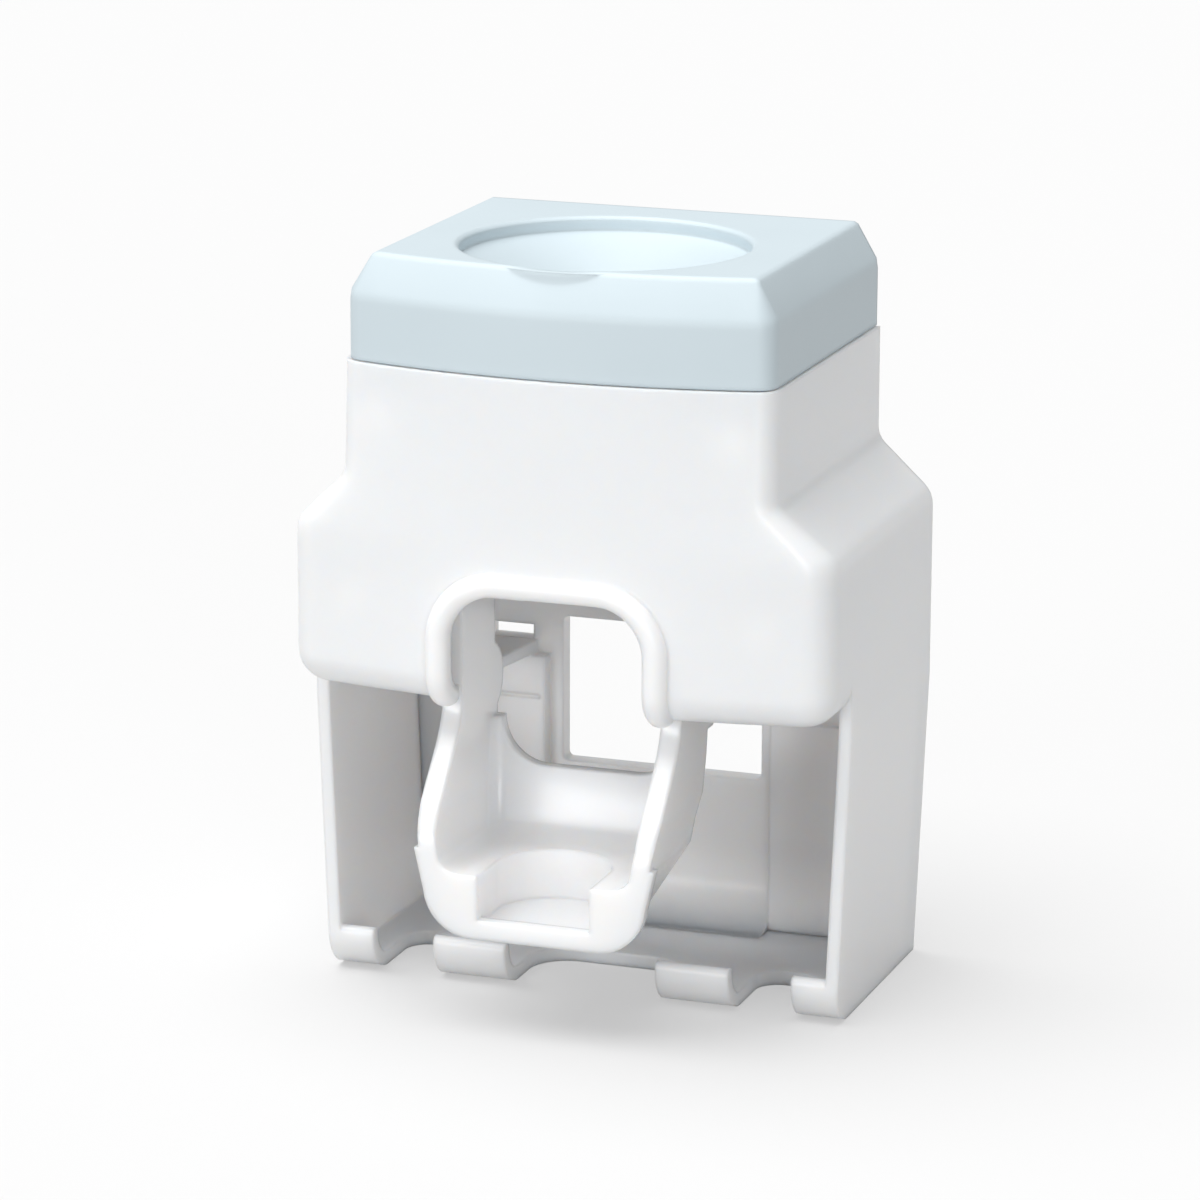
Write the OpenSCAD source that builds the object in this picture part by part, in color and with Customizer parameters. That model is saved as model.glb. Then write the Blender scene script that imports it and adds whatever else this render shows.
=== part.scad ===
// Wall toothpaste dispenser with a push lever, a piston pump and a toothbrush rack.
// Frame: +X right, +Y towards the wall, +Z up. The origin is under the middle of the box.
// Depths are counted forwards from the wall face with back_y().

/* [Body] */
// Height from the rack's underside to the lid's top
body_h = 129.5; // [122:0.5:140]
// Width of the lower cover and the side walls
cover_w = 96; // [92:1:110]
// Width of the upper box
neck_w = 76; // [70:1:80]
// Depth from the wall face to the middle of the bowed front
front_d = 63.8; // [62:0.2:68]
// Radius of the bow of the upper box and the lid, seen from above
bow_r = 136; // [120:2:200]
// Radius of the bow of the wide lower cover
cover_bow_r = 210; // [140:5:300]
// Radius of the two upright front corners of the upper box and the lid
corner_r = 4.5; // [3:0.5:6]
// Radius of the two upright front corners of the lower cover
cover_corner_r = 6.5; // [4:0.5:9]
// Thickness of the moulded walls
wall = 2.2; // [1.8:0.1:2.6]
// Height of the shoulder's foot, where the cover has its full width
shoulder_z = 83; // [80:0.5:85]
// Height of the shoulder
shoulder_h = 9.3; // [7:0.5:11]
// Radius of the round edge under the shoulder
shoulder_r = 5; // [1:0.5:6]
// Radius of the hollow edge over the shoulder
hollow_r = 4; // [1:0.5:5]
// Height of the cover's lower edge
cover_z = 54.8; // [53:0.2:57]
// Radius of the rolled lower edge of the cover
roll_r = 5.5; // [3:0.5:6]

/* [Lid] */
// Height of the lid, with its upright band
lid_h = 18; // [16:0.5:20]
// Height of the lid's upright band
lid_band = 11; // [9:0.5:12]
// Step from the box in to the lid's band
lid_step = 0.6; // [0.2:0.1:1]
// How far the bevel leans in over its height
lid_bevel = 3.4; // [2:0.2:4]
// Seam between the lid and the box
lid_gap = 0.2; // [0.1:0.1:0.5]
// Depth of the lid's skirt in the box
skirt_h = 3.4; // [2:0.2:3.6]
// Radius of the round recess in the lid
recess_r = 24.6; // [20:0.2:24.8]
// Depth of the recess's upright step
recess_h = 2.4; // [1.5:0.1:3]
// Slope of the funnel under the step, in degrees
funnel_slope = 23; // [18:1:26]
// Radius of the hole at the funnel's foot
funnel_hole_r = 8.6; // [8.2:0.1:9.5]
// Thickness of the funnel
funnel_t = 1.8; // [1.4:0.1:2.2]

/* [Arch] */
// Width of the arch in the cover
arch_w = 34.6; // [32:0.2:36]
// Height of the arch's top
arch_z = 74.7; // [73:0.2:76]
// Radius of the arch's upper corners
arch_r = 8.5; // [6:0.5:10]
// Radius of the round bead on the arch's rim
bead_r = 2.1; // [1.6:0.1:2.4]
// How far the bead's middle lies behind the foremost face
bead_in = 0.6; // [0.4:0.1:1]

/* [Rack] */
// Depth of the side walls and of the rack
rack_d = 46.5; // [43:0.5:49]
// How much each side wall leans in towards the foot
wall_lean = 2; // [0:0.2:3]
// Thickness of the rack's floor and lips
floor_t = 2.5; // [2:0.1:3]
// Outer radius of the bend from the floor to a lip
lip_bend_r = 7; // [5:0.5:8]
// Width of the gap in the middle of the rack
mid_gap_w = 27.4; // [24:0.2:30]
// Width of an inner finger
finger_w = 13.1; // [11:0.1:14]
// Width of a toothbrush notch
notch_w = 11.2; // [9:0.2:12]
// Depth at which the notches and the middle gap end
notch_back_d = 27; // [24:0.5:30]

/* [Back panel] */
// Thickness of the back panel
back_t = 3.5; // [3:0.1:4]
// Clearance round the back panel
back_gap = 0.15; // [0.1:0.05:0.3]
// Gap from the back panel's top to the lid's skirt
back_top_gap = 0.7; // [0.4:0.1:3]
// Width of the window
window_w = 37.2; // [34:0.2:39]
// Height of the window's sill
window_z = 29.2; // [26:0.2:32]
// Height of the window
window_h = 26.6; // [22:0.2:28]
// Distance between the two raised side fields
field_gap = 42; // [41:0.5:46]
// How far the side fields stand out from the panel
field_t = 3; // [2:0.2:4]
// Height of the side fields' top
field_z = 48.8; // [46:0.2:49]
// Width of a hanging slot
hang_w = 8; // [5:0.1:9]
// Height of a hanging slot
hang_h = 2.6; // [1.6:0.1:3]
// Distance of a hanging slot's middle from the centre
hang_x = 28.2; // [26:0.1:30]
// Height of the hanging slots' middle
hang_z = 52.4; // [52.3:0.1:56]
// Reach of the little shelf under each slot
shelf_d = 11.5; // [8:0.5:13]

/* [Lever] */
// Width over the lever's arms
lever_w = 42.4; // [41:0.2:43.6]
// Thickness of an arm
arm_t = 3.5; // [2.6:0.1:3.8]
// Depth of the pivot axis
pivot_d = 50; // [48:0.5:52]
// Height of the pivot axis
pivot_z = 78; // [77:0.5:79]
// Depth of the arms' front edge behind the cover
arm_front_d = 55.7; // [54:0.1:56.5]
// Depth of the arms' rear edge
arm_rear_d = 40; // [38:0.5:41]
// Depth of the lever's front panel, which is the foremost face
lever_front_d = 69.3; // [66:0.1:74]
// Height of the lever's underside
lever_z = 16.6; // [14:0.2:18]
// Height of the front panel's top edge
panel_top_z = 27.6; // [26:0.2:30]
// Thickness of the front panel
panel_t = 2.4; // [2:0.1:3]
// Width of the brush notch and of the trough behind it
trough_w = 20; // [16:0.5:22]
// Height of the trough's floor
trough_z = 19; // [18.4:0.1:20]
// Height of the sill in the notch
sill_z = 19.9; // [19.2:0.1:22]
// Height of the middle of the scoop's rear edge
scoop_top_z = 39.4; // [38:0.2:44]
// Full swing of the lever, in degrees
swing = 20; // [10:1:20]

/* [Pump] */
// Depth of the pump's axis
pump_d = 34.2; // [33:0.1:35]
// Bore radius of the pump barrel
bore_r = 9; // [7:0.1:9.4]
// Thickness of the barrel
barrel_t = 3; // [2:0.1:3.2]
// Length of the bore above the barrel's foot
chamber_h = 17.8; // [17.4:0.1:18.2]
// Gap left over the piston's crown at full stroke
crown_gap = 0.5; // [0.4:0.1:0.8]
// Running clearance of piston, stem and pins, on the radius
run_gap = 0.05; // [0.03:0.01:0.08]
// Radius of the piston's hollow stem
stem_r = 5; // [4:0.1:5.4]
// Radius of the paste way through the stem
way_r = 2.4; // [1.5:0.1:2.8]
// Radius of the piston's two cross pins
cross_r = 1.5; // [1.2:0.1:1.8]
// Height of the cross pins
cross_z = 73.8; // [73.4:0.1:75]
// Radius of the hole for a tube's neck
neck_r = 4.6; // [3.5:0.1:5.5]
// Radius of the pivot pins
pin_r = 2; // [1.6:0.1:2.4]

/* [Screws] */
// Thread radius of the back panel's screws
back_screw_r = 1.5; // [1.2:0.05:1.6]
// Thread radius of the small screws
small_screw_r = 1.15; // [1:0.05:1.3]

/* [Hidden] */
$fn = 96;
eps = 0.02;
// Length of a cut that runs past everything
through = 400;
// Clearance between pieces that don't run on each other
clear = 0.3;
// Clearance of a push fit
snug = 0.05;

white = "white";
lid_blue = "lightskyblue";

// The origin is half the lever's reach in front of the wall face
rear_y = lever_front_d / 2;
function back_y(d) = rear_y - d;

// Housing
half_cover = cover_w / 2;
half_neck = neck_w / 2;
seam_z = body_h - lid_h;
neck_z = shoulder_z + shoulder_h;
back_top_z = seam_z - skirt_h - back_top_gap;
neck_bow_r = 1 / (1 / cover_bow_r + (1 / bow_r - 1 / cover_bow_r) * shoulder_h / (seam_z - shoulder_z));
shoulder_slope = atan2(shoulder_h, half_cover - half_neck);
shoulder_drop = wall * (1 - sin(shoulder_slope)) / cos(shoulder_slope);
roll_steps = 7;
fillet_steps = 4;
bead_y = back_y(front_d - bead_in);
bead_off = bead_r - 0.3;
foot_half = half_cover - wall_lean;
wall_bend_z = cover_z - 4;
lip_top_z = lip_bend_r + floor_t / 2;
lip_cut_h = 20;
notch_x = mid_gap_w / 2 + finger_w;
post_r = 3.5;

// Lid
skirt_t = 1.4;
funnel_drop = (recess_r - funnel_hole_r) * tan(funnel_slope);
funnel_z = body_h - recess_h - funnel_drop;
funnel_steep = funnel_t / cos(funnel_slope);

// Lever
half_lever = lever_w / 2;
inner_lever = half_lever - arm_t;
bulge_top_z = 54;
bulge_low_z = panel_top_z + 4;
scoop_low_d = 43;
scoop_mid_d = 40;
scoop_top_d = 38.7;
scoop_wall = 2;
scoop_floor_r = 4;
trough_wall = 1.8;
trough_rear_d = 49.6;
arm_top_z = pivot_z + 6;
crank_end_d = pump_d - 4.9;
bow_steps = 12;
heel_r = 6.5;
heel_in = 2.5;
heel_z = bulge_top_z + 0.2;
heel_turn = acos(heel_in / heel_r);
heel_low_turn = acos((heel_in + arm_rear_d - scoop_top_d) / heel_r);
heel_low_z = heel_z - heel_r * sin(heel_low_turn);
crank = pivot_d - pump_d;
crank_drop = pivot_z - cross_z;
lift = crank * sin(swing) + crank_drop * (1 - cos(swing));
drift = crank_drop * sin(swing) - crank * (1 - cos(swing));
cross_gap = 0.35;
slot_half = 2 + abs(drift);

// Pump, from the piston's crown up to the seal under the lid's funnel
crown_r = 8;
crown_h = 2 * cross_r + 0.4;
crown_z = cross_z - crown_h / 2;
stem_foot_z = crown_z - 1.2;
nozzle_h = 3;
nozzle_r = 4.6;
cap_t = 2.8;
cap_skirt = 4.5;
gasket_t = 0.8;
cap_low_z = crown_z + crown_h + lift + crown_gap;
cap_top_z = cap_low_z + cap_t;
barrel_r = bore_r + barrel_t;
barrel_z = cap_top_z + gasket_t;
plate_z = barrel_z + chamber_h;
plate_t = 3;
flange_t = 2.5;
ear_cut_h = 10;
cup_r = 8;
cup_t = 2.4;
cup_z = plate_z + plate_t;
collar_t = 0.6;
seal_top_z = funnel_z - funnel_steep - collar_t - 0.7;
cup_top_z = seal_top_z - 1;
collar_low_z = cup_top_z - 0.45 * (cup_top_z - cup_z);
collar_grip_t = 1.6;
valve_stem_r = 1;
valve_r = 4.7;
head_z = barrel_z + clear;
head_h = 5.6;
ring_r = 0.9;
ring_z = head_z + head_h / 2;
groove_r = bore_r - 2 * ring_r - run_gap;
spring_r = 7.4;
wire_r = 0.45;
spring_foot_z = head_z + head_h;

// Pump frame
deck_t = 3;
deck_z = plate_z - deck_t - 2;
cheek_t = 2.5;
cheek_x = half_lever + 0.8;
frame_half = cheek_x + cheek_t;
frame_boss_d = back_t + 5;
frame_back_t = 2.5;
frame_front_d = pivot_d + 6;
frame_low_z = 73.5;
tab_z = 72.2;

// Screws
small_head_h = 1.6;
back_head_h = 2;
back_screw_len = 10;
frame_screw_len = 8;
pump_screw_len = 5;
thread_gap = 0.02;
high_post_z = seam_z - skirt_h - post_r - 1.6;
low_post_z = shoulder_z - 11;
post_spots = [
  [half_neck - wall - 5.3, high_post_z, bow_r],
  [half_cover - wall - 9.8, low_post_z, cover_bow_r]
];
frame_spot_x = cheek_x - 2 * small_screw_r - 0.5;
frame_spots = [[frame_spot_x, frame_low_z + 3.5], [frame_spot_x, deck_z - 3]];
pump_spot_x = 18;

// Points of an arc, from angle a to angle b
function arc(x, y, r, a, b, n) =
  [for (i = [0:n]) let (t = a + (b - a) * i / n) [x + r * cos(t), y + r * sin(t)]];

// Outline from above: flat rear at depth d, straight sides, rounded corners, bowed front
function plan(half, inset, d, full_bow = bow_r, corner = corner_r) =
  let (
    side = half - inset,
    r = max(corner - inset, 0.8),
    bow = full_bow - inset,
    bow_y = back_y(front_d - full_bow),
    cx = side - r,
    turn = asin(cx / (bow - r)),
    cy = bow_y - (bow - r) * cos(turn)
  )
  concat(
    [[side, back_y(d)]],
    arc(cx, cy, r, 0, turn - 90, 7),
    arc(0, bow_y, bow, turn - 90, -turn - 90, 16),
    arc(-cx, cy, r, -turn - 90, -180, 7),
    [[-side, back_y(d)]]
  );

// Solid through a stack of rings, each a height and an outline with as many points
module loft(rings) {
  n = len(rings[0][1]);
  top = len(rings) - 1;
  sides = [for (k = [0:top - 1], i = [0:n - 1]) let (a = k * n + i, b = k * n + (i + 1) % n)
    each [[a, b, b + n], [a, b + n, a + n]]];
  polyhedron(
    [for (ring = rings) for (p = ring[1]) [p[0], p[1], ring[0]]],
    concat([[for (i = [n - 1:-1:0]) i]], sides, [[for (i = [0:n - 1]) top * n + i]])
  );
}

// Flat shape drawn in x and z, extruded along y between two depths
module front_shape(d_front, d_back) {
  translate([0, back_y(d_back), 0]) rotate([90, 0, 0]) linear_extrude(d_front - d_back) children();
}

// Flat shape drawn in y and z, extruded along x
module side_shape(x, t) {
  translate([x, 0, 0]) rotate([90, 0, 90]) linear_extrude(t) children();
}

// A round bar along y between two depths
module y_bar(x, z, r, d_front, d_back) {
  translate([x, back_y(d_back), z]) rotate([90, 0, 0]) cylinder(r = r, h = d_front - d_back);
}

module x_bar(x, d, z, r, len) {
  translate([x, back_y(d), z]) rotate([0, 90, 0]) cylinder(r = r, h = len);
}

module both_sides() {
  children();
  mirror([1, 0, 0]) children();
}

// Housing

// Outline of the box at a half width, between the cover's outline and the neck's
function box_plan(half, inset, d) =
  let (s = (half_cover - half) / (half_cover - half_neck))
  plan(half, inset, d, cover_bow_r + (neck_bow_r - cover_bow_r) * s,
    cover_corner_r + (corner_r - cover_corner_r) * s);

module cover_block(inset, low_z, rear_d, top_z) {
  r = roll_r - low_z;
  steps = inset > 0 ? 3 : roll_steps;
  drop = inset > 0 ? shoulder_drop : 0;
  turn = 90 - shoulder_slope;
  low_in = shoulder_r * tan(turn / 2);
  top_in = hollow_r * tan(turn / 2);
  loft(concat(
    [for (i = [steps:-1:0]) let (a = 90 * i / steps)
      [cover_z + roll_r - r * sin(a), box_plan(half_cover, inset + r * (1 - cos(a)), rear_d)]],
    inset > 0
      ? [
        [shoulder_z - drop, box_plan(half_cover, inset, rear_d)],
        [neck_z - drop, box_plan(half_neck, inset, rear_d)]
      ]
      : concat(
        [for (i = [0:fillet_steps]) let (a = turn * i / fillet_steps) [
          shoulder_z - low_in + shoulder_r * sin(a),
          box_plan(half_cover - shoulder_r * (1 - cos(a)), 0, rear_d)
        ]],
        [for (i = [fillet_steps:-1:0]) let (a = turn * i / fillet_steps) [
          neck_z + top_in - hollow_r * sin(a),
          box_plan(half_neck + hollow_r * (1 - cos(a)), 0, rear_d)
        ]]
      ),
    [[top_z, plan(half_neck, inset, rear_d)]]
  ));
}

module arch_face(grow) {
  r = arch_r + grow;
  half = arch_w / 2 + grow;
  top = arch_z + grow;
  translate([-half, cover_z - 12]) square([2 * half, top - r - cover_z + 12]);
  translate([-half + r, cover_z - 12]) square([2 * (half - r), top - cover_z + 12]);
  translate([half - r, top - r]) circle(r);
  translate([r - half, top - r]) circle(r);
}

module arch_bead() {
  bend = arch_r + bead_off;
  side_x = arch_w / 2 + bead_off;
  top_z = arch_z + bead_off;
  foot_z = cover_z + roll_r;
  foot_r = roll_r - 1;
  translate([bend - side_x, bead_y, top_z]) rotate([0, 90, 0])
    cylinder(r = bead_r, h = 2 * (side_x - bend));
  both_sides() {
    translate([side_x, bead_y, foot_z]) cylinder(r = bead_r, h = top_z - bend - foot_z);
    translate([side_x - bend, bead_y, top_z - bend]) rotate([90, 0, 0])
      rotate_extrude(angle = 90) translate([bend, 0]) circle(bead_r);
    translate([side_x, bead_y + foot_r, foot_z]) rotate([90, 0, 90]) rotate([0, 0, 180])
      rotate_extrude(angle = 90) translate([foot_r, 0]) circle(bead_r);
  }
}

// Side view of floor, bend and lip, as one J
module rack_profile() {
  bend_y = back_y(rack_d - lip_bend_r);
  translate([bend_y, 0]) square([rear_y - bend_y, floor_t]);
  difference() {
    translate([bend_y, lip_bend_r]) circle(lip_bend_r);
    translate([bend_y, lip_bend_r]) circle(lip_bend_r - floor_t);
    translate([bend_y, -eps]) square(2 * lip_bend_r + 1);
    translate([bend_y - 2 * lip_bend_r, lip_bend_r]) square(2 * lip_bend_r + eps);
  }
  translate([back_y(rack_d - floor_t / 2), lip_bend_r]) circle(floor_t / 2);
}

module notch_plan(x, w, r) {
  front = back_y(rack_d + 5);
  rear = back_y(notch_back_d);
  translate([x, front]) square([w, rear - r - front]);
  translate([x + r, front]) square([w - 2 * r, rear - front]);
  translate([x + r, rear - r]) circle(r);
  translate([x + w - r, rear - r]) circle(r);
}

module side_walls() {
  intersection() {
    front_shape(rack_d, 0) both_sides() polygon([
      [foot_half, 0],
      [half_cover, wall_bend_z],
      [half_cover, cover_z + roll_r + 2],
      [half_cover - wall, cover_z + roll_r + 2],
      [half_cover - wall, wall_bend_z],
      [foot_half - wall, 0]
    ]);
    side_shape(-half_cover - 1, cover_w + 2) {
      translate([back_y(rack_d), lip_bend_r]) square([rack_d, cover_z]);
      translate([back_y(rack_d - lip_bend_r), 0]) square([rack_d - lip_bend_r, cover_z]);
      translate([back_y(rack_d - lip_bend_r), lip_bend_r]) circle(lip_bend_r);
    }
  }
}

module rack() {
  difference() {
    side_shape(-foot_half + wall / 2, 2 * foot_half - wall) rack_profile();
    translate([0, 0, -1]) linear_extrude(lip_top_z + 4) {
      notch_plan(-mid_gap_w / 2, mid_gap_w, 7);
      notch_plan(notch_x, notch_w, 4.2);
      notch_plan(-notch_x - notch_w, notch_w, 4.2);
    }
  }
}

module screw_post(x, z) {
  y_bar(x, z, post_r, front_d - 2, back_t + back_gap);
}

module housing() color(white) {
  difference() {
    union() {
      difference() {
        union() {
          cover_block(0, 0, 0, seam_z);
          side_walls();
        }
        cover_block(wall, wall, -1, body_h);
        translate([0, 0, cover_z - lip_cut_h]) linear_extrude(lip_cut_h + roll_r - 1.5)
          polygon(box_plan(half_cover, roll_r + 0.3, -1));
        front_shape(rack_d, -1) both_sides() polygon([
          [-1, cover_z - lip_cut_h],
          [half_cover - wall - wall_lean * 0.4, cover_z - lip_cut_h],
          [half_cover - wall, wall_bend_z],
          [half_cover - wall, shoulder_z - shoulder_drop],
          [half_neck - wall, neck_z - shoulder_drop],
          [-1, neck_z - shoulder_drop]
        ]);
        front_shape(front_d + 10, rack_d) arch_face(0.3);
      }
      arch_bead();
      rack();
      both_sides() for (s = post_spots) intersection() {
        screw_post(s[0], s[1]);
        translate([0, 0, cover_z]) linear_extrude(body_h)
          polygon(plan(half_cover, wall / 2, 0, s[2]));
      }
    }
    both_sides() for (s = post_spots) y_bar(s[0], s[1], back_screw_r, back_screw_len + 5.5, -1);
  }
}

// Back panel
module panel_face() {
  g = wall + back_gap;
  low = half_cover - wall_lean * (1 - floor_t / wall_bend_z) - g;
  both_sides() polygon([
    [0, floor_t + back_gap],
    [low, floor_t + back_gap],
    [half_cover - g, wall_bend_z],
    [half_cover - g, shoulder_z - shoulder_drop - back_gap],
    [half_neck - g, neck_z - shoulder_drop - back_gap],
    [half_neck - g, back_top_z],
    [0, back_top_z]
  ]);
}

module window_face() {
  r = 1;
  translate([-window_w / 2 + r, window_z]) square([window_w - 2 * r, window_h]);
  translate([-window_w / 2, window_z + r]) square([window_w, window_h - 2 * r]);
  for (x = [r - window_w / 2, window_w / 2 - r], z = [window_z + r, window_z + window_h - r])
    translate([x, z]) circle(r);
}

module foot_sweep() {
  r = 8;
  side_shape(-field_gap / 2, field_gap) difference() {
    translate([back_y(back_t + r), floor_t + back_gap]) square([r + eps, r]);
    translate([back_y(back_t + r), floor_t + back_gap + r]) circle(r);
  }
}

module back_panel() color(white) {
  difference() {
    union() {
      front_shape(back_t, 0) panel_face();
      front_shape(back_t + field_t, back_t - 1) intersection() {
        panel_face();
        difference() {
          translate([-through / 2, 0]) square([through, field_z]);
          translate([-field_gap / 2, -1]) square([field_gap, through]);
        }
      }
      foot_sweep();
      both_sides() translate([hang_x - 5, 0, field_z]) linear_extrude(2.2) polygon([
        [0, back_y(back_t - 1)],
        [14, back_y(back_t - 1)],
        [10, back_y(back_t + field_t + shelf_d)],
        [2.4, back_y(back_t + field_t + shelf_d)]
      ]);
      both_sides() for (s = frame_spots) y_bar(s[0], s[1], 3.2, frame_boss_d, back_t - 1);
    }
    front_shape(back_t + 1, -1) window_face();
    both_sides() {
      front_shape(back_t + 1, -1) translate([hang_x - hang_w / 2, hang_z - hang_h / 2])
        square([hang_w, hang_h]);
      for (s = post_spots) {
        y_bar(s[0], s[1], back_screw_r + 0.15, back_t + 1, -1);
        y_bar(s[0], s[1], 2 * back_screw_r + 0.2, back_head_h + 0.1, -1);
      }
      for (s = frame_spots) y_bar(s[0], s[1], small_screw_r, frame_boss_d + 1, 1);
      front_shape(back_t + field_t + 1, back_t + field_t - 0.4) translate([field_gap / 2 + 1, 41])
        square([20, 0.6]);
    }
  }
}

// Lid

module lid_block(inset, drop, d) {
  low = seam_z + lid_gap;
  edge = 0.9;
  band_z = seam_z + lid_band - drop / 2;
  top = body_h - drop;
  loft([
    [low - (drop > 0 ? 1 : 0), plan(half_neck, inset, d)],
    [band_z - edge, plan(half_neck, inset, d)],
    [band_z + edge, plan(half_neck, inset + 0.28 * edge, d)],
    [top - 1.1, plan(half_neck, inset + lid_bevel - 0.2, d)],
    [top - 0.4, plan(half_neck, inset + lid_bevel + 0.2, d)],
    [top, plan(half_neck, inset + lid_bevel + 0.9, d)]
  ]);
}

module top_lid() color(lid_blue) {
  difference() {
    union() {
      difference() {
        lid_block(lid_step, 0, 0);
        lid_block(lid_step + wall, wall, wall);
      }
      translate([0, 0, seam_z - skirt_h]) linear_extrude(skirt_h + lid_gap + 1) difference() {
        polygon(plan(half_neck, wall + clear, back_t + clear));
        polygon(plan(half_neck, wall + clear + skirt_t, back_t + clear + skirt_t));
      }
      translate([0, 0, seam_z + lid_gap]) linear_extrude(0.8) difference() {
        polygon(plan(half_neck, lid_step + wall / 2, wall / 2));
        polygon(plan(half_neck, wall + clear + skirt_t / 2, back_t + clear + skirt_t / 2));
      }
      translate([0, back_y(pump_d), 0]) rotate_extrude() polygon([
        [funnel_hole_r, funnel_z],
        [recess_r, body_h - recess_h],
        [recess_r, body_h - 0.3],
        [recess_r + funnel_t, body_h - 0.3],
        [recess_r + funnel_t, body_h - recess_h - funnel_steep],
        [funnel_hole_r, funnel_z - funnel_steep]
      ]);
    }
    translate([0, back_y(pump_d), 0]) rotate_extrude() polygon([
      [0, funnel_z - 10],
      [funnel_hole_r, funnel_z - 10],
      [funnel_hole_r, funnel_z],
      [recess_r, body_h - recess_h],
      [recess_r, body_h - 0.6],
      [recess_r + 0.6, body_h],
      [recess_r + 0.6, body_h + 5],
      [0, body_h + 5]
    ]);
  }
}

// Lever

// One ring of the scoop: straight sides, a straight rear and two round rear corners
function scoop_ring(z, half, rear_d, r) =
  let (front = back_y(lever_front_d + 6), rear = back_y(rear_d))
  [z, concat(
    [[-half, front]],
    arc(r - half, rear - r, r, 180, 90, 8),
    arc(half - r, rear - r, r, 90, 0, 8),
    [[half, front]]
  )];

// Side view of the arms and the scoop, with the front edge as a smooth S
module lever_side() {
  s_edge = [for (i = [0:bow_steps])
    let (t = i / bow_steps, s = 3 * t * t - 2 * t * t * t)
    [
      back_y(arm_front_d + (lever_front_d - arm_front_d) * s),
      bulge_top_z + (bulge_low_z - bulge_top_z) * t
    ]];
  polygon(concat(
    [
      [back_y(arm_front_d), pivot_z + 2],
      [back_y(pivot_d + 2.5), arm_top_z],
      [back_y(pivot_d - 3), arm_top_z],
      [back_y(crank_end_d + 0.9), cross_z + 5.5],
      [back_y(crank_end_d), cross_z + 4.6],
      [back_y(crank_end_d), cross_z - 4],
      [back_y(arm_rear_d), cross_z - 6]
    ],
    arc(back_y(arm_rear_d + heel_in), heel_z, heel_r, heel_turn, -heel_low_turn, 12),
    [
      [back_y(scoop_top_d - 8), heel_low_z],
      [back_y(scoop_top_d - 8), lever_z],
      [back_y(lever_front_d), lever_z]
    ],
    [for (i = [bow_steps:-1:0]) s_edge[i]]
  ));
}

module front_panel_face() {
  r = 8.5;
  half = half_lever - 1.6;
  polygon(concat(
    arc(r - half, lever_z + r, r, 270, 184, 8),
    [[-half_lever, bulge_low_z], [half_lever, bulge_low_z]],
    arc(half - r, lever_z + r, r, -4, -90, 8)
  ));
}

module lever_blank() {
  intersection() {
    union() {
      loft([
        scoop_ring(lever_z, trough_w / 2 + trough_wall, scoop_low_d, 8),
        scoop_ring(panel_top_z + 3, half_lever - 1, scoop_mid_d, 8),
        scoop_ring(panel_top_z + 7, half_lever - 0.4, scoop_mid_d - 0.5, 8),
        scoop_ring(panel_top_z + 11, half_lever, scoop_mid_d - 1, 5.5),
        scoop_ring(scoop_top_z + 5, half_lever, scoop_top_d, 4),
        scoop_ring(scoop_top_z + 11, half_lever, scoop_top_d, 3)
      ]);
      for (x = [inner_lever, -half_lever]) translate([x, back_y(arm_front_d + 3), heel_low_z])
        cube([arm_t, arm_front_d, pivot_z]);
      front_shape(lever_front_d, lever_front_d - panel_t) front_panel_face();
    }
    side_shape(-half_lever - 1, lever_w + 2) lever_side();
  }
}

// Inside of the scoop: a round floor whose rear sweeps up into the rear wall
module scoop_hollow() {
  r = scoop_floor_r;
  foot_d = scoop_mid_d + scoop_wall + 0.6;
  loft(concat(
    [for (i = [0:3]) let (a = 90 * i / 4) scoop_ring(
      panel_top_z + r * (1 - cos(a)) * 0.75, inner_lever - 0.5 - r * (1 - sin(a)),
      foot_d + 1.5 * r * (1 - sin(a)), 3
    )],
    [
      scoop_ring(panel_top_z + 3, inner_lever - 0.5, foot_d, 2.5),
      scoop_ring(panel_top_z + 7, inner_lever, foot_d - 1.1, 2.5),
      scoop_ring(panel_top_z + 11, inner_lever, foot_d - 1.6, 2.5),
      scoop_ring(scoop_top_z + 5, inner_lever, scoop_top_d + scoop_wall, 2),
      scoop_ring(arm_top_z + 10, inner_lever, scoop_top_d + scoop_wall, 2)
    ]
  ));
}

module lever() color(white) {
  edge_r = 8;
  gap = inner_lever - 1.6;
  difference() {
    lever_blank();
    scoop_hollow();
    front_shape(lever_front_d - 14, 0) {
      translate([edge_r - gap, scoop_top_z]) square([2 * (gap - edge_r), through / 4]);
      translate([-gap, scoop_top_z + edge_r]) square([2 * gap, through / 4]);
      translate([-inner_lever, scoop_top_z + edge_r]) square([2 * inner_lever, through / 4]);
      translate([gap - edge_r, scoop_top_z + edge_r]) circle(edge_r);
      translate([edge_r - gap, scoop_top_z + edge_r]) circle(edge_r);
    }
    translate([-trough_w / 2, back_y(lever_front_d + 1), sill_z])
      cube([trough_w, panel_t + 1 + eps, 20]);
    translate([0, 0, trough_z]) linear_extrude(20) {
      translate([-trough_w / 2, back_y(lever_front_d - panel_t)])
        square([trough_w, lever_front_d - panel_t - trough_rear_d - trough_w / 2]);
      intersection() {
        translate([0, back_y(trough_rear_d + trough_w / 2)]) circle(trough_w / 2);
        translate([-trough_w / 2, back_y(lever_front_d - panel_t)]) square([trough_w, trough_w]);
      }
    }
    x_bar(-half_lever - 1, pivot_d, pivot_z, pin_r + run_gap, lever_w + 2);
    side_shape(-half_lever - 1, lever_w + 2) {
      translate([back_y(pump_d + slot_half), cross_z - cross_r - cross_gap])
        square([2 * slot_half, 2 * (cross_r + cross_gap)]);
      for (d = [pump_d + slot_half, pump_d - slot_half]) translate([back_y(d), cross_z])
        circle(cross_r + cross_gap);
    }
  }
}

// Pump frame

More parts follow.
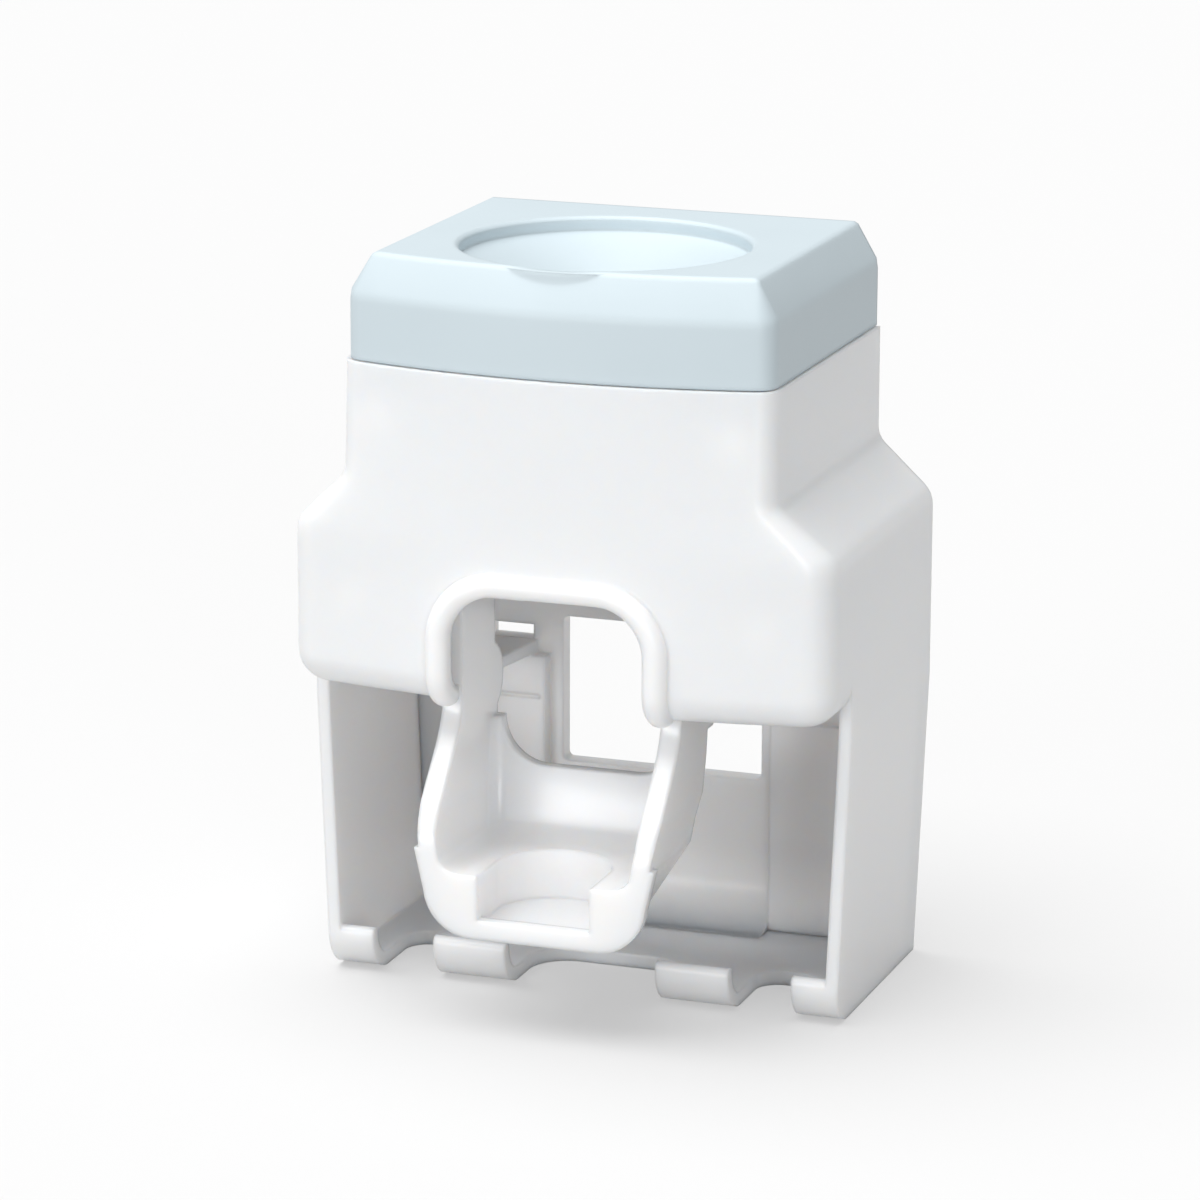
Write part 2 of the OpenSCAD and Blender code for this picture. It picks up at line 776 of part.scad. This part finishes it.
module pump_frame() color("gainsboro") {
  difference() {
    union() {
      translate([-frame_half, back_y(frame_front_d), deck_z])
        cube([2 * frame_half, frame_front_d - frame_boss_d, deck_t]);
      for (x = [cheek_x, -frame_half]) side_shape(x, cheek_t) polygon([
        [back_y(frame_front_d), deck_z + deck_t],
        [back_y(frame_front_d), pivot_z - 3],
        [back_y(pivot_d), pivot_z - 5],
        [back_y(pivot_d - 5), pivot_z - 3],
        [back_y(frame_boss_d + 12), deck_z - 10],
        [back_y(frame_boss_d), deck_z - 24],
        [back_y(frame_boss_d), deck_z + deck_t]
      ]);
      translate([-frame_half, back_y(frame_boss_d + frame_back_t), frame_low_z])
        cube([2 * frame_half, frame_back_t, deck_z - frame_low_z + deck_t]);
      translate([-15, back_y(frame_front_d), tab_z]) cube([30, 2, deck_z - tab_z + eps]);
    }
    translate([0, back_y(pump_d), deck_z - 1]) cylinder(r = barrel_r + snug, h = deck_t + 2);
    x_bar(-frame_half - 1, pivot_d, pivot_z, pin_r, 2 * frame_half + 2);
    both_sides() {
      for (s = frame_spots) y_bar(s[0], s[1], small_screw_r + 0.15, frame_boss_d + 4, frame_boss_d - 1);
      translate([pump_spot_x, back_y(pump_d), deck_z - 1]) cylinder(r = small_screw_r, h = deck_t + 2);
    }
    translate([-6.5, back_y(frame_front_d + 1), tab_z - 1]) cube([13, 4, 12]);
    translate([-13, back_y(frame_boss_d + 4), 73]) cube([26, 5, 12]);
  }
}

// Pump barrel

module on_pump() {
  translate([0, back_y(pump_d), 0]) children();
}

module pump_barrel() color("whitesmoke") on_pump() {
  difference() {
    union() {
      rotate_extrude() polygon([
        [bore_r, barrel_z],
        [barrel_r, barrel_z],
        [barrel_r, deck_z + deck_t],
        [barrel_r + 3, deck_z + deck_t],
        [barrel_r + 3, deck_z + deck_t + flange_t],
        [cup_r + cup_t, cup_z],
        [cup_r + cup_t, cup_top_z],
        [cup_r, cup_top_z],
        [cup_r, cup_z],
        [0, cup_z],
        [0, plate_z],
        [bore_r, plate_z]
      ]);
      difference() {
        translate([-pump_spot_x - 3.5, -4, deck_z + deck_t]) cube([2 * pump_spot_x + 7, 8, flange_t]);
        translate([0, 0, deck_z]) cylinder(r = barrel_r - 1, h = ear_cut_h);
      }
    }
    for (x = [-pump_spot_x, pump_spot_x]) translate([x, 0, deck_z])
      cylinder(r = small_screw_r + 0.15, h = ear_cut_h);
    cylinder(r = valve_stem_r, h = through);
    for (a = [45:90:315]) rotate(a) translate([2.9, 0, 0]) cylinder(r = 1.1, h = through);
  }
}

module inlet_valve() color("lightsteelblue") on_pump() rotate_extrude() polygon([
  [0, plate_z - 1.1],
  [valve_r, plate_z - 0.7],
  [valve_r, plate_z - 0.1],
  [valve_stem_r, plate_z],
  [valve_stem_r, cup_z],
  [1.6, cup_z + 0.2],
  [1.2, cup_z + 1.2],
  [0, cup_z + 1.5]
]);

module inlet_seal() color("lightsteelblue") on_pump() rotate_extrude() polygon([
  [neck_r, cup_z + 2],
  [cup_r, cup_z + 2],
  [cup_r, seal_top_z],
  [neck_r + 1.2, seal_top_z],
  [neck_r, seal_top_z - 1]
]);

module seal_collar() color("whitesmoke") on_pump() {
  lip_r = cup_r - 1.6;
  difference() {
    rotate_extrude() polygon([
      [cup_r + cup_t + snug, collar_low_z],
      [cup_r + cup_t + collar_grip_t, collar_low_z],
      [cup_r + cup_t + collar_grip_t, seal_top_z],
      [cup_r + cup_t + 1, seal_top_z + collar_t],
      [lip_r, seal_top_z + collar_t],
      [lip_r, seal_top_z],
      [cup_r, seal_top_z],
      [cup_r, cup_top_z],
      [cup_r + cup_t + snug, cup_top_z]
    ]);
    for (a = [0:30:330]) rotate(a)
      translate([cup_r + cup_t + collar_grip_t + 0.4, 0, collar_low_z - 1])
      cylinder(r = 0.8, h = cup_top_z - collar_low_z, $fn = 24);
  }
}

module barrel_gasket() color("lightsteelblue") on_pump() translate([0, 0, cap_top_z]) difference() {
  cylinder(r = barrel_r, h = gasket_t);
  translate([0, 0, -1]) cylinder(r = bore_r - 1.2, h = gasket_t + 2);
}

module pump_cap() color("whitesmoke") on_pump() difference() {
  rotate_extrude() polygon([
    [stem_r + run_gap, cap_low_z],
    [barrel_r + 0.9, cap_low_z],
    [barrel_r + 1.6, cap_low_z + 0.7],
    [barrel_r + 1.6, barrel_z + cap_skirt],
    [barrel_r + snug, barrel_z + cap_skirt],
    [barrel_r + snug, cap_top_z],
    [stem_r + run_gap, cap_top_z]
  ]);
  for (a = [0:30:330]) rotate(a) translate([barrel_r + 2, 0, cap_low_z - 1])
    cylinder(r = 0.8, h = 7, $fn = 24);
}

// Piston

module piston() color("gainsboro") on_pump() difference() {
  union() {
    rotate_extrude() polygon([
      [way_r, stem_foot_z],
      [stem_r - 1, stem_foot_z],
      [stem_r - 1, crown_z],
      [crown_r, crown_z],
      [crown_r, crown_z + crown_h],
      [stem_r, crown_z + crown_h],
      [stem_r, head_z],
      [bore_r - run_gap, head_z],
      [bore_r - run_gap, ring_z - ring_r],
      [groove_r, ring_z - ring_r],
      [groove_r, ring_z + ring_r],
      [bore_r - run_gap, ring_z + ring_r],
      [bore_r - run_gap, head_z + head_h],
      [way_r, head_z + head_h]
    ]);
    translate([-half_lever, 0, cross_z]) rotate([0, 90, 0]) cylinder(r = cross_r, h = lever_w);
  }
  translate([0, 0, crown_z - 5]) cylinder(r = way_r, h = 40);
}

module piston_ring() color("dimgray") on_pump() translate([0, 0, ring_z])
  rotate_extrude() translate([bore_r - ring_r - run_gap, 0]) circle(ring_r - 0.02);

module return_spring() color("silver") on_pump() difference() {
  translate([0, 0, spring_foot_z]) cylinder(r = spring_r + wire_r, h = plate_z - spring_foot_z);
  translate([0, 0, spring_foot_z - 1]) cylinder(r = spring_r - wire_r, h = plate_z);
}

module nozzle() color("whitesmoke") on_pump() rotate_extrude() polygon([
  [stem_r - 1, crown_z],
  [nozzle_r + 1.6, crown_z],
  [nozzle_r + 1.6, crown_z - 1],
  [nozzle_r, crown_z - nozzle_h],
  [way_r + 0.6, crown_z - nozzle_h],
  [way_r + 0.6, stem_foot_z],
  [stem_r - 1, stem_foot_z]
]);

module outlet_valve() color("lightsteelblue") on_pump() difference() {
  translate([0, 0, crown_z - nozzle_h + 0.2])
    cylinder(r = way_r + 0.6, h = stem_foot_z - crown_z + nozzle_h - 0.2);
  for (a = [0, 90]) rotate(a) translate([-1.6, -0.1, crown_z - nozzle_h - 1]) cube([3.2, 0.2, 8]);
}

module pivot_pins() color("silver") both_sides() {
  x_bar(inner_lever - 0.6, pivot_d, pivot_z, pin_r, frame_half - inner_lever + 0.6);
  x_bar(frame_half, pivot_d, pivot_z, pin_r + 1.4, 1.2);
}

// Pan-head screw along +z, with its head at the foot, and a cross recess
module screw(r, len, head_r, head_h) {
  difference() {
    union() {
      translate([0, 0, head_h]) cylinder(r = r, h = len);
      cylinder(r = head_r, h = head_h);
    }
    for (a = [0, 90]) rotate(a) translate([-head_r * 0.6, -0.3, -1]) cube([head_r * 1.2, 0.6, 1.8]);
  }
}

module back_screws() color("silver") both_sides() for (s = post_spots)
  translate([s[0], back_y(0.1), s[1]]) rotate([90, 0, 0])
    screw(back_screw_r - thread_gap, back_screw_len, 2 * back_screw_r - 0.1, back_head_h);

module frame_screws() color("silver") both_sides() for (s = frame_spots)
  translate([s[0], back_y(frame_boss_d + frame_back_t + small_head_h), s[1]]) rotate([-90, 0, 0])
    screw(small_screw_r - thread_gap, frame_screw_len, 2 * small_screw_r, small_head_h);

module pump_screws() color("silver") both_sides()
  translate([pump_spot_x, back_y(pump_d), deck_z + deck_t + flange_t + small_head_h])
    rotate([180, 0, 0])
    screw(small_screw_r - thread_gap, pump_screw_len, 2 * small_screw_r, small_head_h);

housing();
back_panel();
top_lid();
lever();
pump_frame();
pump_barrel();
pump_cap();
barrel_gasket();
inlet_valve();
inlet_seal();
seal_collar();
piston();
piston_ring();
return_spring();
nozzle();
outlet_valve();
pivot_pins();
back_screws();
frame_screws();
pump_screws();
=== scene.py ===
"""Looks of a wall toothpaste dispenser: white moulded ABS, a pale blue lid, a push lever.

Everything is in metres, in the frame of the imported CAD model.
"""

import math

import bpy
import numpy as np
from mathutils import Matrix, Vector


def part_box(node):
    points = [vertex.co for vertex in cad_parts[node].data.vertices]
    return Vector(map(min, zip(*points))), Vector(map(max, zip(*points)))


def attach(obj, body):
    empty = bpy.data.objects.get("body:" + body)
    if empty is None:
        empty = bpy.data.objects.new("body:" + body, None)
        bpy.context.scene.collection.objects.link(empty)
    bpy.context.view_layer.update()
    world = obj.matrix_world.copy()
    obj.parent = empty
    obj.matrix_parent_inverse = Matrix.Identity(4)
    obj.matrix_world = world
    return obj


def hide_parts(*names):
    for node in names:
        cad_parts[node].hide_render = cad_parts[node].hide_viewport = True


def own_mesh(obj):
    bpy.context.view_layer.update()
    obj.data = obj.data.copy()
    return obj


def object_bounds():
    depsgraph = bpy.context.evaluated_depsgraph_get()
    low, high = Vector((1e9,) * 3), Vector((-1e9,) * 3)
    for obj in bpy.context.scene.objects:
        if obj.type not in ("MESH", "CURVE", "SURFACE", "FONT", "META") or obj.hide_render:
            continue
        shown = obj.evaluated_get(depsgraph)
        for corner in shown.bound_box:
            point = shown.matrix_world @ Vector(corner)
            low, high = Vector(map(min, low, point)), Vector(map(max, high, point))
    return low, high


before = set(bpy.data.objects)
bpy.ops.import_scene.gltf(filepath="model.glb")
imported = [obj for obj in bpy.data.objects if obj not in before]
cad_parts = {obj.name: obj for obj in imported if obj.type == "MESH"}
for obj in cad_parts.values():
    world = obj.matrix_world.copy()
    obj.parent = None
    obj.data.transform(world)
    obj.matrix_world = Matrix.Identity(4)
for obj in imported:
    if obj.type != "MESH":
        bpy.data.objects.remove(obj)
cad_box = [list(corner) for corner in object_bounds()]
MM = 0.001


# Colours and nodes


def linear(hex_code):
    """sRGB hex to linear RGBA, by the sRGB transfer curve."""
    c = np.array([int(hex_code[i:i + 2], 16) for i in (1, 3, 5)]) / 255
    rgb = np.where(c <= 0.04045, c / 12.92, ((c + 0.055) / 1.055) ** 2.4)
    return (*rgb.tolist(), 1.0)


def add(tree, kind, settings=None, inputs=None, links=None):
    """Adds one node, sets its properties and input values, and links sources into its inputs."""
    node = tree.nodes.new(kind)
    for key, value in (settings or {}).items():
        setattr(node, key, value)
    for key, value in (inputs or {}).items():
        node.inputs[key].default_value = value
    for key, source in (links or {}).items():
        tree.links.new(source, node.inputs[key])
    return node


def empty_material(name):
    """A material without nodes, and its node tree."""
    mat = bpy.data.materials.new(name)
    mat.use_nodes = True
    mat.node_tree.nodes.clear()
    return mat, mat.node_tree


def in_scene(name, data):
    """An object for a mesh, light or camera, put in the scene at the origin."""
    obj = bpy.data.objects.new(name, data)
    bpy.context.scene.collection.objects.link(obj)
    return obj


# Finishes


def finish_of(name, base, shade, drift, rough, rough_range, waves, waves_depth, grain, grain_depth,
              edge=0.0, shader=None):
    """One moulded, drawn or cut surface. base and shade are its two nearly equal colours. drift,
    waves and grain are wavelengths in mm: slow colour drift, flow waves and fine grain, and the
    last two have depths in mm. edge is the radius in mm that edges seem to have. A noise
    texture's scale is 1 / wavelength, because Object coordinates are in metres."""
    mat, tree = empty_material(name)
    place = add(tree, "ShaderNodeTexCoord").outputs["Object"]
    cloud = add(tree, "ShaderNodeTexNoise", None, {"Scale": 1 / (drift * MM), "Detail": 3.0},
                {"Vector": place})
    colour = add(tree, "ShaderNodeMix", {"data_type": "RGBA"},
                 {"A": linear(base), "B": linear(shade)}, {"Factor": cloud.outputs["Fac"]})
    flow = add(tree, "ShaderNodeTexNoise", None, {"Scale": 1 / (waves * MM), "Detail": 1.0},
               {"Vector": place})
    grit = add(tree, "ShaderNodeTexNoise", None, {"Scale": 1 / (grain * MM), "Detail": 2.0},
               {"Vector": place})
    polish = add(tree, "ShaderNodeMapRange", None,
                 {"From Min": 0.3, "From Max": 0.7,
                  "To Min": rough - rough_range, "To Max": rough + rough_range},
                 {"Value": grit.outputs["Fac"]})
    surface = add(tree, "ShaderNodeBump", None, {"Strength": 1.0, "Distance": waves_depth * MM},
                  {"Height": flow.outputs["Fac"]})
    if edge:
        soft = add(tree, "ShaderNodeBevel", {"samples": 8}, {"Radius": edge * MM})
        tree.links.new(soft.outputs["Normal"], surface.inputs["Normal"])
    fine = add(tree, "ShaderNodeBump", None, {"Strength": 1.0, "Distance": grain_depth * MM},
               {"Height": grit.outputs["Fac"], "Normal": surface.outputs["Normal"]})
    bsdf = add(tree, "ShaderNodeBsdfPrincipled", None, shader,
               {"Base Color": colour.outputs["Result"], "Roughness": polish.outputs["Result"],
                "Normal": fine.outputs["Normal"]})
    add(tree, "ShaderNodeOutputMaterial", None, None, {"Surface": bsdf.outputs["BSDF"]})
    return mat


# White plastic in walls of 2 mm lets a little light through, and more of its red than of its
# blue, so the inside of the cover glows faintly warm.
THIN_WALL = {"Subsurface Weight": 1.0, "Subsurface Scale": 3.5 * MM,
             "Subsurface Radius": (1.0, 0.88, 0.78)}
# White ABS from a polished mould: a cool bright white with a soft sheen and very slight flow waves.
white_abs = finish_of(
    "white ABS, injection moulded", "#F8F8F9", "#F5F5F7", drift=30, rough=0.34, rough_range=0.03,
    waves=4, waves_depth=0.006, grain=0.6, grain_depth=0.0012, edge=0.8,
    shader={**THIN_WALL, "IOR": 1.54})
# The lever is the same ABS from a brighter mould, so it is glossier and a touch whiter.
lever_abs = finish_of(
    "white ABS, high gloss moulded", "#F9F9FA", "#F6F6F8", drift=30, rough=0.22, rough_range=0.02,
    waves=5, waves_depth=0.006, grain=0.6, grain_depth=0.0008, edge=1.0,
    shader={**THIN_WALL, "IOR": 1.54})
# Pale blue polypropylene with a fine spark-eroded grain: matt, dusty, even. The real grain is
# about 0.1 mm, and it is drawn at 0.5 mm so that it shows.
blue_pp = finish_of(
    "pale blue polypropylene, fine grain", "#CCD9DF", "#C7D4DA", drift=25, rough=0.46,
    rough_range=0.04, waves=4, waves_depth=0.006, grain=0.5, grain_depth=0.0025, edge=1.2,
    shader={"IOR": 1.49})
# Milky acetal of the pump: a slightly grey, waxy white.
pump_pom = finish_of(
    "white acetal, injection moulded", "#E2E2DF", "#DADAD6", drift=20, rough=0.38,
    rough_range=0.04, waves=3, waves_depth=0.006, grain=0.5, grain_depth=0.0015, edge=0.3,
    shader={"IOR": 1.48})
# Translucent silicone of valves and seals: soft, bluish, without a hard highlight.
silicone = finish_of(
    "silicone, compression moulded", "#C9D6DD", "#BFCDD6", drift=10, rough=0.55, rough_range=0.05,
    waves=2, waves_depth=0.006, grain=0.4, grain_depth=0.0015, edge=0.2,
    shader={"IOR": 1.41, "Subsurface Weight": 0.3, "Subsurface Scale": 2 * MM})
# Nitrile rubber of the piston's ring: black with a dull bloom.
nitrile = finish_of(
    "nitrile rubber, moulded", "#232425", "#2C2D2F", drift=8, rough=0.60, rough_range=0.06,
    waves=1.5, waves_depth=0.006, grain=0.4, grain_depth=0.002, shader={"IOR": 1.52})
# Passivated stainless steel of screws, pins and spring: grey, bright, with faint drawing marks.
steel = finish_of(
    "stainless steel, cold headed", "#B9BBBD", "#ACAEB1", drift=6, rough=0.30, rough_range=0.06,
    waves=1.2, waves_depth=0.004, grain=0.3, grain_depth=0.002, edge=0.15,
    shader={"Metallic": 1.0})

FINISH = {
    "housing": white_abs, "back_panel": white_abs, "top_lid": blue_pp, "lever": lever_abs,
    "pump_frame": white_abs, "pump_barrel": pump_pom, "pump_cap": pump_pom,
    "seal_collar": pump_pom, "piston": pump_pom, "nozzle": pump_pom, "barrel_gasket": silicone,
    "inlet_valve": silicone, "inlet_seal": silicone, "outlet_valve": silicone,
    "piston_ring": nitrile, "return_spring": steel, "pivot_pins": steel, "back_screws": steel,
    "frame_screws": steel, "pump_screws": steel,
}
for node_name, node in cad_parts.items():
    node.data.materials.clear()
    node.data.materials.append(FINISH[node_name])


# Mouldings with round edges

# Corners of a node that lie this close together are one vertex.
SAME_PLACE = 0.001 * MM
# Facets of a rounding meet at less than this many degrees, and real edges at more.
ROUND_TURN = 24


def smooth_copy(node_name, body):
    """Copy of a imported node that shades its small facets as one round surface. Corners at equal
    places become one vertex, edges that turn by more than ROUND_TURN stay sharp, and large faces
    keep their flat shading because normals are weighted by area."""
    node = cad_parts[node_name]
    spots = np.empty(3 * len(node.data.vertices))
    node.data.vertices.foreach_get("co", spots)
    turned = np.array(node.matrix_world)
    spots = spots.reshape(-1, 3) @ turned[:3, :3].T + turned[:3, 3]
    corner = np.empty(len(node.data.loops), dtype=np.int32)
    node.data.loops.foreach_get("vertex_index", corner)
    _, first, same = np.unique(np.round(spots / SAME_PLACE).astype(np.int64), axis=0,
                               return_index=True, return_inverse=True)
    faces = same.reshape(-1)[corner].reshape(-1, 3)
    faces = faces[(faces != np.roll(faces, 1, axis=1)).all(axis=1)]
    mesh = bpy.data.meshes.new(node_name + "_moulding")
    mesh.from_pydata(spots[first].tolist(), [], faces.tolist())
    mesh.polygons.foreach_set("use_smooth", np.ones(len(faces), dtype=bool))
    mesh.set_sharp_from_angle(angle=math.radians(ROUND_TURN))
    mesh.materials.append(FINISH[node_name])
    piece = in_scene(node_name + "_moulding", mesh)
    piece.modifiers.new("flat faces stay flat", "WEIGHTED_NORMAL").keep_sharp = True
    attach(piece, body)
    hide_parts(node_name)


smooth_copy("housing", "base")
smooth_copy("top_lid", "lid")
smooth_copy("lever", "lever")


# Return spring

SPRING_WIRE_R = 0.45 * MM
SPRING_COILS = 5.5
WIRE_STEPS = 32
WIRE_SIDES = 12


def coil(name, foot, top, radius, wire, turns):
    """Closed round wire along a helix from foot to top. Its middle is radius * N + rise * a, with
    N = (cos a, sin a, 0), and its section lies in the plane of N and B = T x N."""
    angle = np.linspace(0, 2 * math.pi * turns, round(WIRE_STEPS * turns) + 1)
    around = np.linspace(0, 2 * math.pi, WIRE_SIDES, endpoint=False)
    rise = (top[2] - foot[2] - 2 * wire) / angle[-1]
    out = np.stack([np.cos(angle), np.sin(angle), 0 * angle], axis=-1)
    along = np.stack([-radius * np.sin(angle), radius * np.cos(angle), rise + 0 * angle], axis=-1)
    along /= np.linalg.norm(along, axis=1, keepdims=True)
    across = np.cross(along, out)
    middle = radius * out + np.array([foot[0], foot[1], foot[2] + wire])
    middle[:, 2] += rise * angle
    rings = middle[:, None] + wire * (np.cos(around)[None, :, None] * out[:, None]
                                      + np.sin(around)[None, :, None] * across[:, None])
    ids = np.arange(rings.shape[0] * WIRE_SIDES).reshape(-1, WIRE_SIDES)
    turned = np.roll(ids, -1, axis=1)
    quads = np.stack([ids[:-1], turned[:-1], turned[1:], ids[1:]], axis=-1).reshape(-1, 4)
    mesh = bpy.data.meshes.new(name)
    mesh.from_pydata(rings.reshape(-1, 3).tolist(), [],
                     quads.tolist() + [ids[0, ::-1].tolist(), ids[-1].tolist()])
    mesh.polygons.foreach_set("use_smooth", np.arange(len(mesh.polygons)) < len(quads))
    mesh.materials.append(steel)
    return in_scene(name, mesh)


low, high = (np.array(corner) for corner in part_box("return_spring"))
axis_x, axis_y = (low + high)[:2] / 2
spring_top = (axis_x, axis_y, high[2])
spring = coil("return_spring_coil", (axis_x, axis_y, low[2]), spring_top,
              (high[0] - low[0]) / 2 - SPRING_WIRE_R, SPRING_WIRE_R, SPRING_COILS)
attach(spring, "base")
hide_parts("return_spring")
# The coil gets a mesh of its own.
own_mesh(spring)


# Floor

FLOOR_HALF = 6.0
FLOOR_GAP = 0.1 * MM

floor_z = cad_box[0][2] - FLOOR_GAP
floor_mesh = bpy.data.meshes.new("floor")
floor_mesh.from_pydata([(x * FLOOR_HALF, y * FLOOR_HALF, floor_z)
                        for x, y in ((-1, -1), (1, -1), (1, 1), (-1, 1))], [], [(0, 1, 2, 3)])
floor = in_scene("floor", floor_mesh)
# Matt grey card that sends back as little light as a studio's floor, while the camera and the
# reflections see it just short of full white, with half of the object's shadow.
card, tree = empty_material("background card, matt")
sheet = add(tree, "ShaderNodeBsdfDiffuse", None, {"Color": linear("#ADADAD")})
glow = add(tree, "ShaderNodeEmission", None, {"Color": linear("#ABABAB"), "Strength": 1.0})
ray = add(tree, "ShaderNodeLightPath")
seen = add(tree, "ShaderNodeMath", {"operation": "MAXIMUM"}, None,
           {0: ray.outputs["Is Camera Ray"], 1: ray.outputs["Is Glossy Ray"]})
lift = add(tree, "ShaderNodeMixShader", None, None,
           {0: seen.outputs[0], 2: glow.outputs["Emission"]})
both = add(tree, "ShaderNodeAddShader", None, None,
           {0: sheet.outputs["BSDF"], 1: lift.outputs["Shader"]})
add(tree, "ShaderNodeOutputMaterial", None, None, {"Surface": both.outputs["Shader"]})
floor.data.materials.append(card)


# Light

WORLD_LEVEL = 0.31

world = bpy.data.worlds.new("studio")
world.use_nodes = True
sky = world.node_tree.nodes["Background"].inputs
sky["Color"].default_value = linear("#FFFFFF")
sky["Strength"].default_value = WORLD_LEVEL
bpy.context.scene.world = world


def distant_softbox(name, toward, level, width):
    """A large, far softbox in the direction toward. A white sheet that faces it gets the
    brightness level from it alone, and it fills width degrees of the view from the object."""
    light = bpy.data.lights.new(name, "SUN")
    light.energy = level * math.pi
    light.angle = math.radians(width)
    in_scene(name, light).rotation_euler = Vector(toward).to_track_quat("Z", "Y").to_euler()


distant_softbox("overhead softbox", (-0.20, -0.10, 0.97), level=1.02, width=60)
distant_softbox("left front softbox", (-0.30, -0.95, 0.10), level=0.28, width=24)
distant_softbox("right front softbox", (0.50, -0.86, 0.10), level=0.25, width=24)


# Camera, fitted to the photograph's view of the object

EYE = Vector((0.2937, -0.8261, 0.2938))
AIM = Vector((-0.0027, 0.00585, 0.0662))
ROLL = 0.195
LENS_MM = 159.51
SENSOR_MM = 36

camera = bpy.data.cameras.new("camera")
camera.sensor_width = SENSOR_MM
camera.lens = LENS_MM
view = in_scene("camera", camera)
turn = (AIM - EYE).to_track_quat("-Z", "Y").to_matrix() @ Matrix.Rotation(math.radians(ROLL), 3, "Z")
view.matrix_world = Matrix.Translation(EYE) @ turn.to_4x4()
bpy.context.scene.camera = view
bpy.context.scene.view_settings.view_transform = "Standard"
